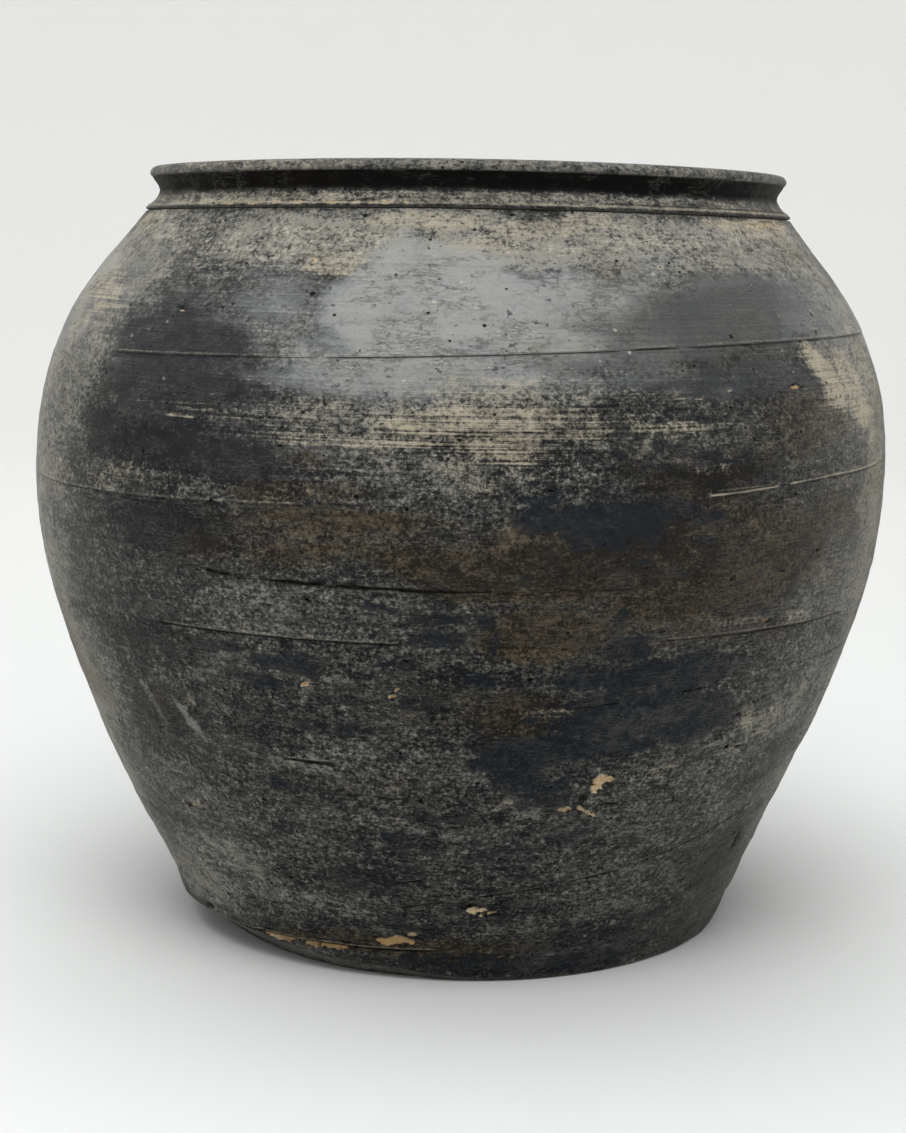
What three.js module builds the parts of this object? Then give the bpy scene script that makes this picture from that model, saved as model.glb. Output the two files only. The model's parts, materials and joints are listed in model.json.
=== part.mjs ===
// A wide-bellied black clay jar (olla) from the barro negro tradition.
//
// The potter builds it on a clay disc, adds the wall in courses of clay, each one
// lapped over the outside of the course below, then turns down a collar and rolls a lip.
// Every clay member is its own solid here, cut along its real join.
//
// Millimetres, +Z up. The origin is on the pot's axis, at the underside of the foot.

import * as THREE from 'three';

// ---- Driving dimensions ----

const FOOT_RADIUS = 116.8;
const BELLY_RADIUS = 180;
const BELLY_HEIGHT = 192;
const GROOVE_RADIUS = 133.4;
const GROOVE_HEIGHT = 300.7;
const NECK_RADIUS = 129.7;
const LIP_RADIUS = 133.2;
const POT_HEIGHT = 319;
const MOUTH_RADIUS = 121.8;

const WALL_THICKNESS = 9;
const FLOOR_THICKNESS = 12;

// The tops of the courses, measured up the outside of the wall. The last course ends at the groove.
const BASE_TOP = 14;
const FOOT_TOP = 47;
const LOWER_WALL_TOP = 97;
const MIDDLE_WALL_TOP = 146;
const BELLY_TOP = 195;
const UPPER_BELLY_TOP = 249;
const COLLAR_TOP = 314.2;

// A join climbs inwards through the wall, and its two faces stay apart.
const JOIN_CLIMB = 5;
const NECK_JOIN_CLIMB = 1.5;
const JOIN_GAP = 0.3;

const TURNED_SIDES = 64;
const PROFILE_STEP = 14;

// ---- The outline of the pot ----

// Height and outer radius from the foot, over the belly, to the groove under the collar.
const BODY_OUTLINE = [
  [0, FOOT_RADIUS - 1.2],
  [7, FOOT_RADIUS],
  [16, 121.4],
  [36, 131],
  [75, 149.5],
  [117, 165.3],
  [155, 176.2],
  [BELLY_HEIGHT, BELLY_RADIUS],
  [232, 175.4],
  [268, 159.5],
  [286, 145.2],
  [GROOVE_HEIGHT, GROOVE_RADIUS],
];

const outline = new THREE.CubicInterpolant(
  BODY_OUTLINE.map(([height]) => height),
  BODY_OUTLINE.map(([, radius]) => radius),
  1,
);

function outerRadius(height) {
  return outline.evaluate(height)[0];
}

function outerSlope(height) {
  const lower = Math.max(height - 1, 0);
  const upper = Math.min(height + 1, GROOVE_HEIGHT);
  return (outerRadius(upper) - outerRadius(lower)) / (upper - lower);
}

// The inner face follows the outer one at an even thickness, so on a slope it is set further in.
function innerRadius(height) {
  return outerRadius(height) - WALL_THICKNESS * Math.hypot(1, outerSlope(height));
}

// Points on one face of the wall from one height to another, both included.
function facePoints(radiusAt, from, to) {
  const steps = Math.ceil(Math.abs(to - from) / PROFILE_STEP);
  const points = [];
  for (let i = 0; i <= steps; i += 1) {
    const height = THREE.MathUtils.lerp(from, to, i / steps);
    points.push(new THREE.Vector2(radiusAt(height), height));
  }
  return points;
}

// ---- Turned clay members ----

// A profile of radius and height is turned about the pot's axis and stood upright.
function turnedMember(name, profile, material) {
  const geometry = new THREE.LatheGeometry(profile, TURNED_SIDES);
  const member = new THREE.Mesh(geometry, material);
  member.name = name;
  member.rotation.x = Math.PI / 2;
  return member;
}

function closedLoop(points) {
  return [...points, points[0].clone()];
}

// The disc the pot stands on, with the floor of the pot as its upper face.
function baseSlab(material) {
  const rim = facePoints(outerRadius, 0, BASE_TOP);
  const floorEdge = new THREE.Vector2(innerRadius(FLOOR_THICKNESS), FLOOR_THICKNESS);
  const floorCentre = new THREE.Vector2(0, FLOOR_THICKNESS);
  return turnedMember('base_slab', [new THREE.Vector2(0, 0), ...rim, floorEdge, floorCentre], material);
}

// A ring of wall between two joins. The foot course starts on the flat edge of the slab.
function wallCourse(name, bottom, top, material) {
  const standsOnSlab = bottom === BASE_TOP;
  const innerBottom = standsOnSlab ? FLOOR_THICKNESS : bottom + JOIN_CLIMB;
  const innerTop = top === GROOVE_HEIGHT ? top : top + JOIN_CLIMB;
  const outside = facePoints(outerRadius, bottom + JOIN_GAP, top);
  const inside = facePoints(innerRadius, innerTop, innerBottom + JOIN_GAP);
  return turnedMember(name, closedLoop([...outside, ...inside]), material);
}

// The hollow throat under the lip: out at the groove's ridge, in at the neck, out again to the lip.
function neckCollar(material) {
  const bottom = GROOVE_HEIGHT + JOIN_GAP;
  const throat = new THREE.SplineCurve([
    new THREE.Vector2(GROOVE_RADIUS + 1.4, bottom + 1),
    new THREE.Vector2(NECK_RADIUS + 1.7, bottom + 4),
    new THREE.Vector2(NECK_RADIUS, bottom + 7.4),
    new THREE.Vector2(NECK_RADIUS + 1.4, bottom + 10.6),
    new THREE.Vector2(LIP_RADIUS - 0.5, COLLAR_TOP),
  ]);
  const profile = [
    new THREE.Vector2(GROOVE_RADIUS + 0.8, bottom),
    ...throat.getPoints(8),
    new THREE.Vector2(MOUTH_RADIUS, COLLAR_TOP + NECK_JOIN_CLIMB),
    new THREE.Vector2(innerRadius(GROOVE_HEIGHT), bottom),
  ];
  return turnedMember('neck_collar', closedLoop(profile), material);
}

// The rolled lip: a rounded bead, fuller on the outside.
function rimLip(material) {
  const bottom = COLLAR_TOP + JOIN_GAP;
  const roll = new THREE.SplineCurve([
    new THREE.Vector2(LIP_RADIUS - 0.4, bottom),
    new THREE.Vector2(LIP_RADIUS, bottom + 1.2),
    new THREE.Vector2(LIP_RADIUS - 1.1, POT_HEIGHT - 1.4),
    new THREE.Vector2(LIP_RADIUS - 4.6, POT_HEIGHT),
    new THREE.Vector2(MOUTH_RADIUS + 2, POT_HEIGHT - 0.9),
    new THREE.Vector2(MOUTH_RADIUS, bottom + NECK_JOIN_CLIMB),
  ]);
  return turnedMember('rim_lip', closedLoop(roll.getPoints(10)), material);
}

// ---- Fired clay, from the sooty foot up to the burnished shoulder ----

function firedClay(color, roughness) {
  return new THREE.MeshStandardMaterial({ color, roughness, metalness: 0 });
}

const scrapedClay = firedClay('#3b3833', 0.72);
const smokedClay = firedClay('#3a3733', 0.6);
const burnishedClay = firedClay('#4a4a49', 0.48);
const collarClay = firedClay('#45423c', 0.62);

const WALL_COURSES = [
  ['foot_course', FOOT_TOP, scrapedClay],
  ['lower_wall_course', LOWER_WALL_TOP, scrapedClay],
  ['middle_wall_course', MIDDLE_WALL_TOP, smokedClay],
  ['belly_course', BELLY_TOP, smokedClay],
  ['upper_belly_course', UPPER_BELLY_TOP, smokedClay],
  ['shoulder_course', GROOVE_HEIGHT, burnishedClay],
];

// ---- The pot ----

const pot = new THREE.Group();
pot.add(baseSlab(scrapedClay));

let bottom = BASE_TOP;
for (const [name, top, material] of WALL_COURSES) {
  pot.add(wallCourse(name, bottom, top, material));
  bottom = top;
}

pot.add(neckCollar(collarClay));
pot.add(rimLip(collarClay));

export default pot;
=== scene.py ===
import json
import math
from types import SimpleNamespace

import bmesh
import bpy
import numpy as np
from mathutils import Matrix, Vector
from mathutils.bvhtree import BVHTree


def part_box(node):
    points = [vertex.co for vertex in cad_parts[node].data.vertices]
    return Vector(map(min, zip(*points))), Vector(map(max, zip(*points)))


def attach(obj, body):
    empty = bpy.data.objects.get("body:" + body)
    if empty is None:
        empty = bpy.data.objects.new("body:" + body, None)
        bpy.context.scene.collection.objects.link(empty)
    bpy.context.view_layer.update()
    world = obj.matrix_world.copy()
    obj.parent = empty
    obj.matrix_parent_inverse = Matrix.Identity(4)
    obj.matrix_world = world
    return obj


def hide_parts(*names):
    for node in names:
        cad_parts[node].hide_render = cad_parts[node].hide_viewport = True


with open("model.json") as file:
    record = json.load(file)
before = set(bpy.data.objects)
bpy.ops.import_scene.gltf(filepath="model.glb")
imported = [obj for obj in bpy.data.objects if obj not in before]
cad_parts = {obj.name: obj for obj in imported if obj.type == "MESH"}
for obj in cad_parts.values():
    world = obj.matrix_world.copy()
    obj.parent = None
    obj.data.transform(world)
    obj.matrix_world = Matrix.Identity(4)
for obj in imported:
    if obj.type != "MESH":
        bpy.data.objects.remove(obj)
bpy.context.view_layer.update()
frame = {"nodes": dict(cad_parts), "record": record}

# A wide-bellied black clay pot. Each clay member of the CAD model is replaced by one dense, closed
# mesh with the wall's real relief: laps, scraper facets, incised lines, chips and a worn foot.
#
# Lengths are millimetres until a mesh is made. A place on the wall is an azimuth in degrees, 0 at
# the front (-Y) and positive to the right (+X), and a height above the underside of the foot.

MM = 0.001
SEED = 41

COLUMNS = 720
ROW_PITCH = 0.5
INNER_ROW_PITCH = 2.5
JOIN_ROWS = 3

COURSES = [
    "foot_course",
    "lower_wall_course",
    "middle_wall_course",
    "belly_course",
    "upper_belly_course",
    "shoulder_course",
]


def low_high(node):
    low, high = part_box(node)
    return np.array(low) / MM, np.array(high) / MM


FLOOR_HEIGHT = 12.0
JOIN_CLIMB = 5.0
GROOVE_HEIGHT = low_high("shoulder_course")[1][2]
POT_HEIGHT = low_high("rim_lip")[1][2]
LIP_RADIUS = low_high("rim_lip")[1][0]
FOOT_TOP = low_high("base_slab")[1][2]
COLLAR_HEIGHT = 14.0
LIP_BOTTOM = GROOVE_HEIGHT + COLLAR_HEIGHT
LIP_WIDTH = 11.4
MOUTH_RADIUS = LIP_RADIUS - LIP_WIDTH
MOUTH_DROP = 4.2  # The lip's inner edge lies this far below the top of the pot.


# ---- The wall's outline, read from the CAD members ----

OUTLINE_STEP = 0.5
OUTLINE_SMOOTHING = 4.0
FAR_OUTSIDE = 400.0


def cad_surfaces():
    """One search tree over every CAD member."""
    points, faces = [], []
    for node in ["base_slab", *COURSES]:
        mesh = frame["nodes"][node].data
        start = len(points)
        points += [vertex.co / MM for vertex in mesh.vertices]
        faces += [[start + index for index in face.vertices] for face in mesh.polygons]
    return BVHTree.FromPolygons(points, faces)


def smoothed(values, spread):
    """A moving average with a bell-shaped window, which carries each end's slope on past the end."""
    reach = int(3 * spread)
    window = np.exp(-0.5 * (np.arange(-reach, reach + 1) / spread) ** 2)
    before = 2 * values[0] - values[reach:0:-1]
    after = 2 * values[-1] - values[-2 : -reach - 2 : -1]
    return np.convolve(np.concatenate([before, values, after]), window / window.sum(), "valid")


def traced_outline(heights, start_radius, direction):
    tree = cad_surfaces()
    radii = []
    for height in heights:
        hit = tree.ray_cast(Vector((start_radius, 0, height)), Vector((direction, 0, 0)))[0]
        radii.append(hit.x)
    return smoothed(np.array(radii), OUTLINE_SMOOTHING / OUTLINE_STEP)


outline_heights = np.arange(0.25, GROOVE_HEIGHT - 0.25, OUTLINE_STEP)
outer_outline = traced_outline(outline_heights, FAR_OUTSIDE, -1)
inner_heights = outline_heights[outline_heights > FLOOR_HEIGHT + 1]
inner_outline = traced_outline(inner_heights, 0, 1)


def outer_radius(height):
    return np.interp(height, outline_heights, outer_outline)


def inner_radius(height):
    return np.interp(height, inner_heights, inner_outline)


# ---- Noise on the wall ----

azimuths = np.arange(COLUMNS) * 360 / COLUMNS

# The stretch of heights that a noise covers, in millimetres, and how far below the foot it starts.
NOISE_SPAN = 400
NOISE_START = 20


def eased(t):
    return t * t * (3 - 2 * t)


def wall_noise(height, around, tall, seed):
    """Smooth noise from -1 to 1, with so many cells around the pot, each so many millimetres tall."""
    rng = np.random.default_rng(SEED + seed)
    lattice = rng.uniform(-1, 1, (int(NOISE_SPAN / tall) + 4, around))
    across = azimuths / 360 * around
    up = (height + NOISE_START) / tall
    column, row = np.floor(across).astype(int), np.floor(up).astype(int)
    s, t = eased(across - column), eased(up - row)
    beside = (column + 1) % around
    lower = lattice[row, column] * (1 - s) + lattice[row, beside] * s
    upper = lattice[row + 1, column] * (1 - s) + lattice[row + 1, beside] * s
    return lower * (1 - t) + upper * t


def rough_noise(height, around, tall, octaves, seed):
    total = 0
    for octave in range(octaves):
        scale = 2**octave
        total = total + wall_noise(height, around * scale, tall / scale, seed + octave) / scale
    return total


def edge_noise(around, octaves, seed):
    """The same kind of noise for a value that changes only round the pot."""
    return rough_noise(np.zeros((1, COLUMNS)), around, 50, octaves, seed)


def fade(edge, full, value):
    """0 at edge and 1 at full, with a soft run between them."""
    return eased(np.clip((value - edge) / (full - edge), 0, 1))


def top_shift(height):
    """The turned top stands a little to the right of the foot."""
    return 0.8 * fade(190, 240, height) + 0.9 * fade(270, 305, height)


def turned_from(centre):
    """Degrees from one azimuth to every column."""
    return (azimuths - centre + 180) % 360 - 180


# ---- The joins between the clay members ----

# Member above the join: (height, sway to the right, sway twice round), all in millimetres.
JOINS = {
    "foot_course": (14.5, 2.5, 0.5),
    "lower_wall_course": (47.0, 2.0, -1.0),
    "middle_wall_course": (96.4, 1.0, -0.4),
    "belly_course": (145.6, -0.6, 0.5),
    "upper_belly_course": (197.0, 5.2, 0.4),
    "shoulder_course": (249.4, 4.2, 1.1),
}

# The collar hangs this much lower at the pot's two sides than at its front and back.
RIM_SAG = 2.2


def side_share():
    """0 at the front and the back of the pot, and 1 at its two sides."""
    return np.sin(np.radians(azimuths)) ** 2


def join_height(member):
    """Height of the join under one member, at every column."""
    if member not in JOINS:
        return GROOVE_HEIGHT - RIM_SAG * side_share()
    height, sway, double_sway = JOINS[member]
    turn = np.radians(azimuths)
    return height + sway * np.sin(turn) + double_sway * np.sin(2 * turn)


# Where the join under a member shows: (first azimuth, last azimuth, overhang, opening). Each
# stretch ends softly, and elsewhere the join is wiped shut. A negative overhang is a set-back.
OPEN_JOINS = {
    "foot_course": [(-70, -2, 0.9, 0.5), (60, 150, 0.6, 0.3), (190, 270, 0.7, 0.4)],
    "lower_wall_course": [(95, 160, 0.4, 0.2), (200, 250, 0.5, 0.3)],
    "middle_wall_course": [(-23.6, -16, 0.1, 0.5), (120, 175, 0.3, 0.3)],
    "belly_course": [(-40, -6, 0.4, 0.35), (26, 62, 0.3, 0.3), (110, 240, 0.4, 0.3)],
    "upper_belly_course": [(31, 75, -0.3, 0.1), (120, 200, 0.4, 0.3), (-75, -18, 0.2, 0.15)],
    "shoulder_course": [
        (-52, -18, 0.35, 0.08), (-16, 19, 0.7, 0.16), (21, 27, 0.5, 0.3), (30, 80, 0.6, 0.13),
        (95, 262, 0.6, 0.2),
    ],
}
JOIN_END = 3.0

# An overhang dies out upwards over LAP_REACH, and the wall under it is hollowed over HOLLOW_REACH.
LAP_REACH = 9
HOLLOW_REACH = 3
HOLLOW_SHARE = 0.25


def stretch(start, end, softness):
    """1 between two azimuths and 0 outside them."""
    half = (end - start) / 2
    return fade(half + softness / 2, half - softness / 2, np.abs(turned_from(start + half)))


def join_relief(member, above):
    """Relief, painted shade and paleness beside one join, at so many millimetres above it."""
    relief, shade, pale = (np.zeros_like(above) for _ in range(3))
    for start, end, overhang, opening in OPEN_JOINS[member]:
        here = stretch(start, end, JOIN_END)
        lap = np.exp(-np.abs(above) / LAP_REACH)
        hollow = -HOLLOW_SHARE * np.exp(-np.abs(above) / HOLLOW_REACH)
        proud = np.where(above > 0, lap, hollow)
        slit = np.exp(-((above / (opening + 0.15)) ** 2))
        relief += here * (overhang * proud - 1.6 * opening * slit)
        shade = np.maximum(shade, 2 * opening * here * slit)
        pale = np.maximum(pale, 0.6 * here * np.exp(-(((above - 0.9) / 0.5) ** 2)))
    return relief, shade, pale


# ---- Lines cut into the wall or standing out of it ----

# (points along it as azimuth and height, half width, depth, darkness, paleness). The darkness is
# painted shade in the cut. A line with a depth below 0 stands proud.
LINES = [
    # The long undercut lap below the belly, and the crack that carries it on.
    ([(-31.5, 168.6), (-26, 167.6), (-18, 166.6), (-8, 166.3), (0, 165.6)], 1.1, 0.9, 1.0, 0),
    ([(-2, 165.8), (3, 166.3), (8, 165), (12, 166.4), (21, 166)], 0.35, 0.4, 0.9, 0),
    ([(-6, 167.5), (-4.5, 166.2)], 0.35, 0.3, 0.9, 0),
    # The raised pale lap at the right of the belly.
    ([(30, 199.2), (40, 200.8), (52, 202.8), (72, 203.4)], 0.45, -0.55, 0, 0.9),
    ([(34, 200.1), (44, 202.2)], 0.3, 0.2, 0.6, 0),
    ([(33, 195.5), (45, 194.6), (60, 196.5)], 0.5, 0.25, 0.35, 0.2),
    # Slanting scraper lines near the foot.
    ([(-9, 34.2), (-4, 36.4), (1, 39), (5, 40.3), (15, 43.6)], 0.45, 0.5, 0.85, 0),
    ([(19, 45.4), (28, 48.6), (38, 54.4), (45, 58.6), (56, 66)], 0.5, 0.55, 0.7, 0),
    ([(-9, 45.6), (-4.4, 47.9)], 0.55, 0.4, 0.8, 0),
    ([(41, 45.6), (46, 49.5), (56, 53)], 0.8, 0.4, 0.45, 0),
    ([(-40, 28.6), (-30, 29), (-14, 26), (-2, 24.2)], 0.6, 0.4, 0.55, 0),
    # Short cuts and scratches.
    ([(-23.6, 96.4), (-16.2, 95.3)], 0.38, 0.6, 1.0, 0),
    ([(30, 124.5), (33, 125.2), (35.5, 125.1)], 0.5, 0.4, 0.9, 0),
    ([(30.3, 123.3), (34.5, 123.6)], 0.4, 0, 0, 0.55),
    ([(15, 120.6), (18, 121.5), (21, 121.9)], 0.45, 0.3, 0.8, 0),
    ([(27, 143.6), (35, 145.4), (52, 144.8)], 0.7, 0.3, 0.55, 0),
    ([(34, 138.4), (40, 132.4)], 0.6, 0.2, 0.5, 0),
    ([(38, 129.8), (52, 128.8), (76, 128)], 0.7, 0.5, 0.45, 0),
    ([(14, 141), (17, 146), (20, 150.5)], 0.35, 0.3, 0.6, 0),
    ([(-10, 135), (-2, 136), (6, 135)], 0.4, 0.2, 0.5, 0),
    ([(-35, 144.4), (-27, 143.9), (-12, 144.8)], 0.35, 0.1, 0.5, 0),
    ([(-34, 147.4), (-22, 146.8), (-12, 147.6)], 0.4, -0.15, 0, 0.6),
    ([(-20, 83.4), (-12, 83.6), (-4, 82.6)], 0.5, 0.3, 0.6, 0),
    ([(-12, 82), (-3, 81.2)], 0.4, -0.1, 0, 0.6),
    ([(-50, 228.6), (-40, 228.2), (-30, 229.4)], 0.4, -0.1, 0, 0.6),
    ([(-30, 230.2), (-18, 230.6), (-4, 231.5)], 0.35, 0.2, 0.45, 0),
    ([(-50, 192.4), (-36, 191.4), (-26, 192.8), (-14, 193.6)], 0.45, 0.3, 0.4, 0.3),
    ([(38, 251), (50, 251.6), (66, 252.2)], 0.3, -0.2, 0, 0.7),
    ([(13, 234.8), (17, 236.4)], 0.4, 0, 0, 0.9),
    ([(25, 234.6), (30, 234)], 0.35, 0, 0, 0.9),
    ([(33.5, 236.6), (36, 236.4)], 0.6, 0, 0, 0.95),
    ([(-8, 225), (-12, 222.5)], 0.4, 0, 0, 0.5),
    ([(44.4, 237), (46.5, 238)], 0.55, 0.6, 0.95, 0),
    ([(-41.2, 262.8), (-40, 262.6)], 0.5, 0.7, 0.95, 0),
    ([(28.4, 30.4), (30, 30.2)], 0.5, 0.7, 0.95, 0),
    ([(-20.3, 181.8), (-19.5, 181.5)], 0.45, 0.4, 0.95, 0),
    ([(-15.8, 174.2), (-15, 174.3)], 0.5, 0.3, 0, 0.9),
]


def window(height, centre, half_width, low, high):
    """The rows and columns of a grid that a mark can reach, and the columns' distance from it."""
    across = turned_from(centre)
    columns = np.flatnonzero(np.abs(across) < half_width)
    rows = np.flatnonzero((height.max(axis=1) > low) & (height.min(axis=1) < high))
    return np.ix_(rows, columns), across[columns]


def line_relief(height):
    """Relief, darkness and paleness of every line."""
    relief, dark, pale = (np.zeros_like(height) for _ in range(3))
    ragged, worn = rough_noise(height, 180, 2.5, 2, 901), rough_noise(height, 120, 4, 3, 905)
    for points, half_width, depth, darkness, paleness in LINES:
        along, levels = np.array(sorted(points)).T
        middle, half = (along[0] + along[-1]) / 2, (along[-1] - along[0]) / 2
        reach = 4 * half_width
        place, across = window(height, middle, half + 1, levels.min() - reach, levels.max() + reach)
        away = height[place] - np.interp(middle + across, along, levels)
        width = half_width * (1 + 0.5 * ragged[place])
        whole = fade(half + 0.6, half - 0.6, np.abs(across)) * fade(-1.0, -0.35, worn[place])
        cut = whole * np.exp(-((away / width) ** 2))
        relief[place] -= depth * cut
        dark[place] = np.maximum(dark[place], darkness * cut)
        pale[place] = np.maximum(pale[place], paleness * cut)
    return relief, dark, pale


# ---- Marks on the wall: (azimuth, height, half width in degrees, half height, strength, slant) ----

# The slant, where a mark has one, is how many millimetres it climbs in each degree to the right.

# Blue-black patches that peel at their edges.
INK = [
    (13, 190, 8, 7, 1.4), (8, 191, 3.5, 6, 1.2), (21, 190, 4, 7, 1.3), (25.5, 194, 4.5, 4, 1.1),
    (30.5, 191.5, 2.4, 2.2, 1.3), (30.5, 183.6, 1.8, 1.6, 1.3), (13.5, 183, 1.8, 4, 0.9),
    (30.3, 213.6, 2.2, 2.8, 1.7), (33.2, 211.6, 1.6, 1.2, 1.5), (29.5, 211, 1.2, 1.2, 1.4),
    (36.2, 212, 0.8, 3, 1), (9.4, 212.6, 1.1, 1.2, 1.8), (10.2, 202.6, 1.1, 1.2, 1.9),
    (8.4, 205.4, 0.7, 0.9, 1.5), (18, 224, 1.4, 3.2, 0.9), (30, 227, 1.8, 1.6, 0.9),
    (20, 214, 12, 8, 0.45), (27.6, 171, 1.1, 1.3, 1.4), (22.2, 176.2, 1.2, 1, 1.4),
    (8, 171.5, 0.7, 0.8, 1.3), (3.6, 154.5, 1.2, 3.4, 1.3), (20, 155, 0.9, 5, 1.1),
    (41.6, 153, 1.3, 2.4, 1.3), (4.7, 146, 0.7, 4.5, 1.3), (26, 132, 12, 8, 1.3),
    (22, 144, 3.2, 5.5, 1.2), (16, 133, 4, 6, 1.1), (24, 117, 14, 10, 1.2), (33, 112, 5.5, 9, 1.3),
    (12, 104, 8, 7, 1.4), (9, 94, 4.5, 11, 1.4), (13, 87, 4, 7, 1.1), (20, 106, 8, 6, 1.2),
    (4.5, 104, 3, 2.5, 1), (-19.5, 136, 3.6, 4.5, 1.3), (-23.5, 135, 3, 3, 1.1), (-25, 85, 3, 3, 0.9),
    (-8.5, 66, 3.2, 4.5, 0.9, -0.5), (-27, 66, 3, 4, 0.7), (-10, 160, 4, 1.6, 0.9, -0.25),
    (-7, 139, 4, 3, 0.8), (3, 132, 3, 3.5, 0.8), (46, 214, 1, 1, 1), (13, 80, 6, 3, 0.7),
    (17, 184, 3, 4, 1.1), (8.5, 199, 3, 2, 1.1), (34, 118, 5, 7, 1.2), (6, 99, 5, 4, 1.2),
    (-24, 128, 5, 3, 0.9), (-17, 111, 5, 3, 0.7), (-6, 122, 5, 4, 0.7), (-2, 148, 4, 4, 0.8),
    (-2, 156, 5, 3, 0.7), (-30, 139, 5, 3, 0.8), (6, 61, 8, 5, 0.55), (18, 66, 6, 4, 0.55),
    (12, 50, 5, 3, 0.5), (-15, 46, 4, 4, 0.5), (34, 8, 4, 7, 1.2), (24, 5, 8, 4, 1.1),
    (0, 10, 16, 5, 0.8), (-6, 24, 9, 2, 0.6),
]

# Broad areas that are lighter, above 0, or darker, below 0. Most are the clay's own tone, and some
# are painted light, as marked below.
TONE = [
    (-41, 252, 10, 10, -0.9), (-40, 215, 12, 8, -1.1), (-28, 212, 7, 6, -0.8), (-37, 236, 12, 7, -0.7),
    (-32, 205, 9, 5, -0.5), (-38, 180, 12, 14, -0.9), (-44, 150, 10, 14, -0.5), (-46, 137, 8, 7, -0.6),
    (-36, 160, 6, 9, -0.4), (-44, 108, 6, 16, -0.5), (-30, 118, 8, 14, -0.2), (-22, 88, 9, 6, -0.4),
    (-8, 24, 14, 4, -0.8), (10, 6, 30, 6, -1), (12, 15, 16, 8, -0.8), (-36, 15, 5, 3, -0.8),
    (34, 20, 10, 10, -0.7), (55, 40, 10, 14, -0.5), (36, 240, 14, 9, -0.6), (28, 205, 13, 7, -1.1),
    (25, 180, 12, 14, -1.1), (6, 172, 12, 9, -0.9), (8, 118, 9, 12, -0.7), (-8, 124, 10, 5, -0.3),
    (0, 76, 10, 3, -0.8), (-2, 134, 14, 6, -0.6), (-10, 64, 10, 7, -0.6), (5, 33, 7, 5, -0.6),
    (-14, 46, 8, 5, -0.7), (44, 258, 9, 7, -0.3), (46, 176, 12, 14, -0.3), (30, 160, 10, 8, -0.5),
    (2, 97, 14, 9, 0.35), (-18, 98, 9, 8, 0.55), (2, 64, 6, 6, 0.4), (42, 70, 14, 14, 0.4),
    (-46, 70, 12, 14, 0.6), (-40, 46, 10, 9, 0.9), (-28, 33, 14, 5, 0.8), (-52, 30, 9, 18, 1.2),
    # (-8, 243), (4, 238) and (0, 267) are partly the shoulder's paler grey and partly a painted highlight
    # where the burnish at its front catches the lamp.
    (-8, 243, 22, 9, 2.0), (4, 238, 14, 8, 1.6), (-7, 230, 18, 7, 1.5), (-16, 221, 7, 8, 1.0),
    (-7, 209, 7, 8, 0.9), (20, 244, 9, 6, 0.7), (0, 267, 25, 21, 2.1), (-26, 262, 10, 14, 0.6),
    (44, 98, 7, 14, 0.8), (54, 118, 8, 34, 0.8), (58, 165, 9, 26, 0.9), (62, 236, 9, 18, 1.6),
    (-23, 157, 9, 6, 0.5), (-20, 148, 12, 3, 0.5), (24, 46, 9, 10, 0.5), (28, 32, 9, 5, 0.5),
    # Painted reflection: (54, 118) and (58, 165) above, and the entries below at 56 degrees and beyond to
    # either side, lighten the two sides where they turn from view, over a real pale film.
    (-56, 265, 10, 26, 0.9), (58, 265, 12, 24, 0.8), (-60, 232, 8, 20, 0.9), (-58, 110, 7, 24, 1.1),
    # Painted light: (-15, 290), (30, 289) and (0, 283) lighten the top of the shoulder as light from above
    # does, over its pale lime crust.
    (-15, 290, 34, 10, 1.7), (30, 289, 30, 10, 2.0), (0, 283, 26, 8, 1.9), (-72, 150, 10, 150, 1.9),
    (72, 160, 10, 150, 1.4), (92, 232, 26, 34, 1.5),
    (98, 128, 24, 38, 1.1), (88, 48, 26, 30, 1.0), (-92, 236, 26, 36, 1.5), (-96, 110, 24, 44, 1.1),
]

# Brown areas.
UMBER = [
    (34, 172, 22, 26, 0.8), (8, 176, 24, 14, 0.65), (-14, 184, 16, 14, 0.5), (28, 206, 16, 14, 0.6),
    (32, 260, 22, 20, 0.45), (14, 250, 10, 10, 0.3), (10, 172, 18, 12, 0.9), (36, 180, 18, 15, 0.9),
    (12, 150, 10, 11, 1), (28, 160, 12, 12, 0.8), (-12, 190, 12, 6, 0.7), (8, 120, 6, 10, 0.7),
    (-20, 201, 10, 6, 0.6), (32, 206, 8, 5, 0.8), (46, 222, 12, 14, 0.6),
    (-18, 212, 3, 4, 0.6), (-2, 121, 8, 12, 0.4), (55, 190, 12, 12, 0.6), (-14, 15, 26, 6, 0.9),
    (4, 176, 30, 8, 0.9), (30, 190, 20, 10, 0.7), (35, 148, 14, 8, 0.5), (-44, 112, 2, 12, 0.6),
    (-30, 178, 12, 6, 0.5), (-8, 88, 10, 8, 0.35), (78, 180, 22, 70, 0.5), (60, 30, 14, 16, 0.5),
]
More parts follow.
